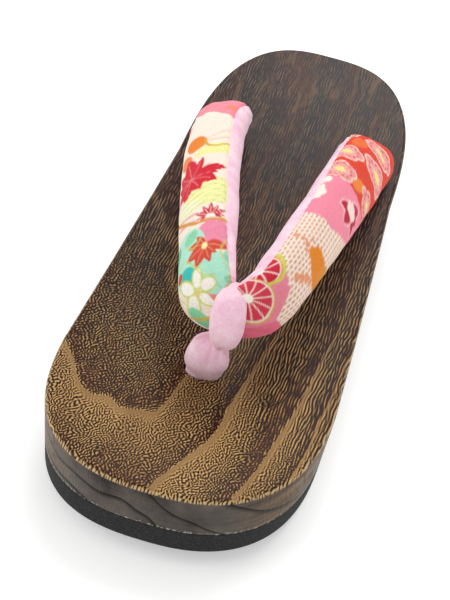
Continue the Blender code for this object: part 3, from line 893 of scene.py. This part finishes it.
def spray(v, w, colour, vein, petals):
    """A flower of pointed petals; petals holds the turn, length and width of each."""
    for turn, length, width in petals:
        lay(petal(v, w, turn, length, width), colour)
    for turn, length, width in petals:
        angle = math.radians(turn)
        tip = (v + 0.75 * length * math.cos(angle), w + 0.75 * length * math.sin(angle))
        lay(0.8 * stroke([(v, w), tip], 0.30), vein)


def tie_dye(mask, colour="#d5824f"):
    """Rows of small dashes, as left by tied knots in the dye bath."""
    row = np.floor(w_mm / 1.6)
    a = (v_mm / 2.4 + 0.5 * (row % 2)) % 1 - 0.5
    b = (w_mm / 1.6) % 1 - 0.5
    lay(mask, CREAM)
    lay(0.9 * mask * soft(np.hypot(a * 2.4 / 0.85, b * 1.6 / 0.38) * 0.38 - 0.38, 0.16), colour)


print("motifs:", [tool.__name__ for tool in (wheel, plum, spray, tie_dye)])

# %% [markdown]
# ### Printing the straps
# Places are in millimetres: along the cloth from the joint, negative on the sandal's right leg, and
# round it from the lower edge, so 16 is the middle of the outer face and 32 the upper edge.

# %% The right leg, from the heel on: coral end, cream, lemon, crimson leaves
lay(soft(v_mm - np.interp(w_mm, (6, 15, 22, 28), (-136, -127, -116, -112))), "#f8909f")
lay(0.8 * blob(-124, 24.5, 4.6, 2.6, 25), "#f5896a")
lay(0.6 * stroke([(-98, 29), (-95, 24), (-92, 18)], 1.4), PEACH)
lay(0.6 * stroke([(-92, 29), (-90, 25), (-91, 20)], 1.8), PEACH)
lay(blob(-84.5, 25.5, 9, 6.0, 80) * (v_mm > -86), LEMON)
lay(blob(-95, 16.2, 7.6, 3.2, 26), ORANGE)
lay(blob(-87, 12.6, 7.0, 2.6, 20), "#f2894c")
lay(stroke([(-87.5, 31), (-84.4, 27), (-84.6, 23.5), (-88, 21), (-94, 19.6)], 1.0), "#d9a83c")
lay(blob(-54, 25, 10.5, 8.0, 80), "#f3f2ae")
lay(blob(-50, 15, 4.0, 7.0, -20), "#f6f5cf")
for v in (-62, -58.5, -55, -51.5, -48.5):
    lay(0.7 * stroke([(v + 2.5, 31), (v + 1, 25), (v + 1.5, 19), (v - 1, 13)], 0.5), LIME)
spray(-68, 17.0, "#d62034", "#ee8f92", ((93, 13.6, 7.0), (50, 13.4, 6.2), (72, 11.0, 4.0), (22, 11.0, 5.6),
                                        (-12, 10.0, 6.0), (-48, 10.5, 6.0), (-85, 9.0, 6.2),
                                        (-125, 10.0, 5.8), (189, 18.0, 5.4), (160, 11.0, 4.6),
                                        (210, 14.0, 5.0)))
print("printed so far, in percent:", covered())

# %% The right leg, on to the joint: blossoms on lemon, pink and mint
lay(blob(-41, 27, 3.6, 5.6), "#fdf2e4")
spray(-38.6, 26.0, "#cf2840", CREAM, ((100, 5.6, 2.0), (126, 7.4, 2.2), (154, 6.6, 1.9), (180, 7.4, 2.2),
                                      (206, 7.0, 2.0), (232, 7.4, 2.2), (258, 5.6, 1.8)))
lay(blob(-38.6, 26.0, 1.5, 1.9), "#fdf3e6")
for v in (-48.5, -45.0):
    lay(stroke([(v + 5, 20), (v + 2.5, 16), (v, 12)], 0.9), "#eda0a4")
lay(blob(-31.5, 28, 5.6, 7.6) * (v_mm > -37), "#f191ac")
lay(blob(-26, 16, 12.0, 9.0, 10) * (v_mm > -38), MINT)
lay(blob(-15, 30, 9.5, 10.0), MINT)
lay(blob(-33, 18.5, 3.0, 2.8), "#8ed6ae")
lay(blob(-33, 11, 3.8, 2.6), "#7cbf9c")
lay(stroke([(-37.6, 33), (-37.2, 27), (-38, 21), (-42, 17), (-47, 13), (-53, 9)], 1.2), "#dd9638")
lay(blob(-17.6, 16.8, 4.4, 3.8, 40), TEAL)
lay(blob(-20.4, 12.2, 2.0, 2.2, 30), "#d8532f")
spray(-26.5, 24.8, "#d94f3c", "#f0a58c", ((92, 9.0, 3.4), (60, 5.5, 3.2), (-30, 8.0, 4.4), (-66, 8.4, 4.2),
                                          (-105, 7.6, 3.4), (20, 6.5, 4.0), (220, 6.0, 2.6)))
lay(blob(-26.4, 24.6, 1.2, 1.2), LEMON)
for grow, colour in ((0.6, "#c9d85c"), (0.0, "#fdf6ea")):
    for turn, reach in ((104, 5.4), (158, 4.8), (226, 4.6), (296, 4.4), (30, 4.0)):
        angle = math.radians(turn)
        centre = (-11.8 + reach * math.cos(angle), 18.8 + reach * math.sin(angle))
        lay(blob(*centre, 3.2 + grow, 1.9 + grow, turn), colour)
lay(blob(-11.8, 18.8, 1.1, 1.1), "#e9d27a")
for points in (((-30, 33), (-25, 31), (-21, 33), (-17, 38)), ((-30, 17), (-27, 20), (-30, 23)),
               ((-15, 9), (-11, 12), (-9, 9)), ((-24, 17), (-20, 20.5), (-16.5, 23.5), (-16, 28)),
               ((-29, 9), (-25, 12), (-25, 16))):  # thin stems
    lay(0.8 * stroke(points, 0.6), "#d3cf62")
lay(0.8 * blob(-24, 34.5, 2.4, 2.6), "#8fd8b4")
lay(0.8 * blob(-13.5, 33.5, 2.2, 2.6), "#74cdb0")
lay(soft(-(v_mm + 9 - 0.55 * (w_mm - 24))) * (w_mm > 22), "#f08f9f")
lay(stroke([(-22, 40), (-19, 36), (-11.5, 32), (-8.5, 27), (-7.5, 22.5)], 1.0), "#dcae52")
lay(blob(-5.0, 11.0, 3.4, 5.4, 60), "#86cf9f")
lay(blob(-1.0, 14, 3.6, 8.0), "#ef8094")
lay(stroke([(-8.5, 8), (-5, 15.5), (-3.6, 20)], 0.8), "#d9b24a")
print("printed so far, in percent:", covered())

# %% The left leg, from the joint on: wheels and tie-dyed dots
lay(blob(10, 12, 17.0, 16.0, 20) * (v_mm > -1), "#f08a9c")
lay(blob(8, 5, 12.0, 9.0, 20) * (v_mm > -1), "#ec728b")
dots_start = np.interp(w_mm, (8, 14, 20, 25, 33), (18, 16, 24.5, 26, 30))
pink_start = np.interp(w_mm, (8, 14, 18, 21, 35), (74, 66, 61, 57, 56))
tie_dye(soft(np.maximum(dots_start - v_mm, v_mm - pink_start)))
lay(blob(42.6, 15.6, 5.8, 6.6) * soft(v_mm - 52 + 0.3 * w_mm), "#ea8a28")
lay(blob(41, 20.4, 2.6, 3.0), "#ea8a28")
lay(blob(45, 11, 5.6, 4.0), "#e69434")
for v, w, size in ((41, 25.0, 1.3), (41.6, 27.6, 1.0), (41.2, 30.4, 1.2), (41.8, 33.0, 0.9),
                   (28.6, 20.6, 1.5), (30.8, 18.8, 1.6), (33.4, 17.4, 1.6), (35.4, 15.4, 1.3),
                   (38.6, 24.0, 0.8), (44.4, 24.4, 0.8)):
    lay(0.8 * blob(v, w, size, 0.9 * size, 30), "#e98a52")
wheel(21.0, 34.0, 8.6, 9, 10.0, "#cf2a42")
lay(stroke([(30.6, 36), (30.0, 31.5), (27.6, 27.4), (23.4, 25.0), (18.6, 27.0)], 1.1), "#d3d450")
wheel(10.8, 26.0, 10.8, 13, 4.0, "#dc4056", 0.76)
print("printed so far, in percent:", covered())

# %% The left leg, on to the heel: pink with a crimson motif, red with plum blossom
lay(soft(pink_start - v_mm), "#fa90a6")
for grow, colour in ((0.7, "#fbc3c6"), (0.0, "#c01f42")):
    for turn, length, width in ((176, 9.4, 3.8), (134, 7.4, 3.8), (-22, 8.0, 3.8), (-70, 6.4, 3.4),
                                (-120, 7.6, 3.6)):
        lay(petal(78.0, 17.2, turn, length + grow, width + 2 * grow), colour)
lay(blob(78.0, 17.2, 2.6, 2.4, 0, 5, 0.3), "#fde2da")
for v, w, size in ((68.4, 33.0, 2.4), (71.6, 32.2, 2.8), (75.0, 33.2, 2.4), (81.4, 32.6, 3.0)):
    lay(blob(v, w, size, size), "#fdf1e4")
lay(soft(np.interp(w_mm, (6, 14, 20, 34), (90, 88, 86, 84)) - v_mm), "#e4452f")
lay(blob(92, 19.4, 4.6, 2.2, -20), "#f28a3c")
for v, w, size in ((91.8, 28.6, 7.6), (109.8, 28.6, 7.6), (114.0, 13.4, 7.6), (131.6, 15.0, 7.4),
                   (95.0, 11.6, 5.8), (136.5, 30.0, 6.0)):
    plum(v, w, size, "#f19a96", 18 + 3 * v)
plum(147, 22, 5.6, "#f19a96", 30.0)
lay(blob(124, 24.4, 6.4, 3.4, -10), "#f0703a")
print("printed so far, in percent:", covered())

# %% The sides that the picture doesn't show go on with the same garden
for v, w, size in ((-100, 2.0, 6.5), (-40, 1.0, 6.0), (100, -1.0, 5.5)):
    wheel(v, w, size, 12, 0.0, "#d82a45")
for v, w, size in ((-120, 4.0, 6.0), (-77, 1.0, 6.2), (60, 2.0, 6.2), (80, 1.5, 5.2)):
    plum(v, w, size, "#f2938f", 5 * v)
lay(blob(-58, 1.0, 7.0, 4.6, 10, 6, 0.25) * (w_mm < 8), MINT)
lay(blob(30, 0.5, 8.0, 4.6, 0, 6, 0.25) * (w_mm < 8), "#fc90a9")
print("printed so far, in percent:", covered())

# %% [markdown]
# ### Crepe and velvet
# Crepe is woven with hard-twisted threads that shrink into a pebbled, matt surface, with grains about
# two thirds of a millimetre apart. Velvet has a short upright pile: it looks paler where the pile is
# seen from the side, which sheen gives, and a little mottled where it has been pressed.

# %% Printed crepe
straps.data.attributes.new("print", "FLOAT_COLOR", "POINT")
straps.data.attributes["print"].data.foreach_set("color", np.c_[paint, np.ones(len(paint))].ravel())

# crepe: quite matt, with soft grains that take the gloss off the dyes
crepe, tree, shader = new_finish("printed_crepe", Roughness=0.9, Specular_IOR_Level=0.12, Sheen_Weight=0.04)
spot = add(tree, "TexCoord", out="Object")
print_colour = add(tree, "Attribute", attribute_name="print")
grainy = add(tree, "TexNoise", {"Vector": spot, "Scale": 1500.0, "Detail": 2.0})
shadow = add(tree, "MapRange", {"Value": grainy, "From Min": 0.3, "From Max": 0.7, "To Min": 0.86,
                                "To Max": 1.0})
tone = add(tree, "VectorMath", {0: print_colour, "Scale": shadow}, operation="SCALE")
tree.links.new(tone, shader.inputs["Base Color"])
relief = add(tree, "Bump", {"Height": grainy, "Strength": 0.45, "Distance": 0.0002})
tree.links.new(relief, shader.inputs["Normal"])
print("nodes in the crepe:", len(tree.nodes))

# %% Pink velvet
# cotton velvet: its short upright pile scatters light back at a grazing angle
velvet, tree, shader = new_finish("pink_velvet", Roughness=0.95, Specular_IOR_Level=0.1, Sheen_Weight=0.5,
                                  Sheen_Roughness=0.35)
shader.inputs["Sheen Tint"].default_value = linear("#fff0f4")
spot = add(tree, "TexCoord", out="Object")
nap = add(tree, "TexNoise", {"Vector": spot, "Scale": 1100.0, "Detail": 3.0})
pressed = add(tree, "TexNoise", {"Vector": spot, "Scale": 160.0, "Detail": 3.0})
pile = add(tree, "Math", {0: nap, 1: 0.5, 2: pressed}, operation="MULTIPLY_ADD")
tone = add(tree, "ValToRGB", {"Fac": pile},
           stops=[(0.55, linear("#f3c0d5")), (0.75, linear("#fad2e1")), (0.95, linear("#fee2ec"))])
tree.links.new(tone, shader.inputs["Base Color"])
relief = add(tree, "Bump", {"Height": nap, "Strength": 0.5, "Distance": 0.00025})
tree.links.new(relief, shader.inputs["Normal"])
print("nodes in the velvet:", len(tree.nodes))

# %% Tie the straps to the frame
straps.data.materials.append(crepe)
straps.data.materials.append(velvet)
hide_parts("strap_upper")
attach(straps, "root")
print("in the frame:", straps.name)

# %% [markdown]
# ## The toe loop
# The loop is a narrow velvet tube over a cord. It goes round the joint of the straps as a flat band,
# and its two strands swell into a knob before they go down the front hole. A fold between band and
# knob pinches the velvet. It is lofted like the straps, through sections up one strand, over the
# joint and down the other.

# %% The loop's sections
LOOP_POWER, LOOP_SIDES, PINCH_HEIGHT = 2.2, 24, 0.0415
# x, y, z, width and depth in mm, from the rear strand's end in the hole, over the joint, to the front one's
LOOP_TABLE = (
    (55.5, 0.0, 18.0, 9.8, 5.0), (55.5, 0.0, 28.5, 9.8, 5.0), (54.7, -0.4, 31.0, 10.8, 6.5),
    (54.4, 0.0, 34.0, 10.6, 6.6), (54.6, 1.6, 37.0, 7.6, 5.4), (54.4, 3.0, 39.6, 5.6, 4.4),
    (53.4, 4.2, 43.4, 5.0, 3.8), (52.0, 4.5, 50.0, 4.6, 3.6), (52.2, 4.7, 56.0, 4.8, 3.6),
    (54.4, 4.9, 59.6, 5.8, 3.6), (57.6, 5.1, 60.6, 7.8, 4.0), (61.4, 5.5, 59.2, 10.0, 4.6),
    (64.4, 6.0, 55.6, 11.2, 5.0), (65.4, 6.2, 51.0, 10.8, 5.2), (64.8, 6.0, 46.8, 9.0, 5.0),
    (62.4, 5.4, 43.8, 7.0, 4.4), (59.8, 4.4, 41.6, 7.0, 4.2), (61.4, 2.8, 38.4, 13.2, 6.8),
    (61.9, 1.2, 34.8, 13.8, 7.8), (61.2, 1.0, 31.6, 12.8, 7.2), (60.6, 0.5, 29.2, 11.2, 6.2),
    (60.5, 0.0, 27.4, 9.6, 5.0), (60.5, 0.0, 18.0, 9.6, 5.0),
)
print("height of the loop over the joint in mm:", max(row[2] for row in LOOP_TABLE))

# %% Loft the loop
stations = smooth_rows(LOOP_TABLE, 3) / 1000
loop_rings = []
for index, row in enumerate(stations):
    way = stations[min(index + 1, len(stations) - 1)][:3] - stations[max(index - 1, 0)][:3]
    way /= np.linalg.norm(way)
    across = np.array([0.0, 1.0, 0.0])
    across -= way * across.dot(way)
    across /= np.linalg.norm(across)
    through = np.cross(way, across)
    loop_rings.append(oval(row[:3], across * row[3] / 2, through * row[4] / 2,
                           np.arange(LOOP_SIDES) * 360 / LOOP_SIDES, LOOP_POWER))
loop = mesh_of_rings("velvet_loop", np.array(loop_rings))
subdivide(loop, 2)
loop.data.shade_smooth()
print("loop vertices:", len(loop.data.vertices))

# %% Folds of the pinch
heights = np.array([v.co.z for v in loop.data.vertices])
pinch = np.exp(-((heights - PINCH_HEIGHT) / 0.0030) ** 2)
folds = soft_noise([(math.atan2(v.co.y - 0.003, v.co.x - FRONT_HOLE_X) * 3.5, v.co.z * 90)
                    for v in loop.data.vertices], 5.0)
folds *= 0.00012 + 0.00045 * pinch
move_along_normals(loop, folds)
print("deepest fold in mm:", round(-1000 * float(folds.min()), 2))

# %% Tie the loop to the frame
loop.data.materials.append(velvet)
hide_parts("toe_loop")
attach(loop, "root")
print("in the frame:", loop.name)
